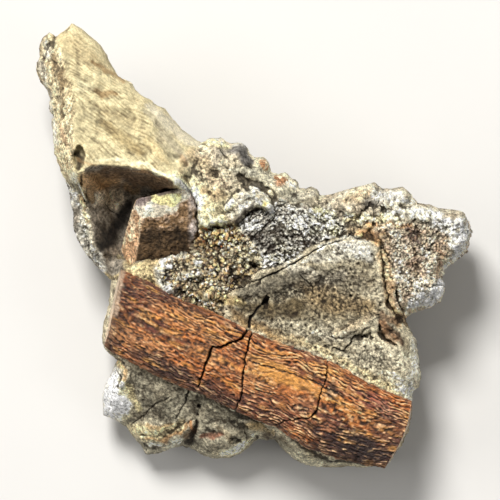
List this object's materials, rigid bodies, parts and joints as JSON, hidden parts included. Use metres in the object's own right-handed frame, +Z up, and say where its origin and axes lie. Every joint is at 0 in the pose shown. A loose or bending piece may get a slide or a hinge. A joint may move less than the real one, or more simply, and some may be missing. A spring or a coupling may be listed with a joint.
{
  "type": "fossil reptile bone in matrix rock",
  "caption": "Weathered cream and grey rock with a cracked orange-brown length of fossil reptile bone bedded across it and bits of bone beside it.",
  "frame": {"origin": "middle of the bounding box in plan, at the level of the flat underside", "axes": "+X along the width, +Y towards the rising arm of rock, +Z up out of the face that shows the bone"},
  "size_m": [0.06, 0.0609, 0.026],
  "materials": {
    "matrix_rock": "weathered, matt",
    "long_bone_fossil": "fibrous, slightly waxy",
    "fragment_fossil": "rough, matt",
    "chip_fossil": "rough, matt"
  },
  "bodies": {
    "root": {"matrix": "matrix_rock", "long_bone": "long_bone_fossil", "bone_fragment": "fragment_fossil", "bone_chip_upper": "chip_fossil", "bone_chip_lower": "chip_fossil"}
  },
  "joints": []
}
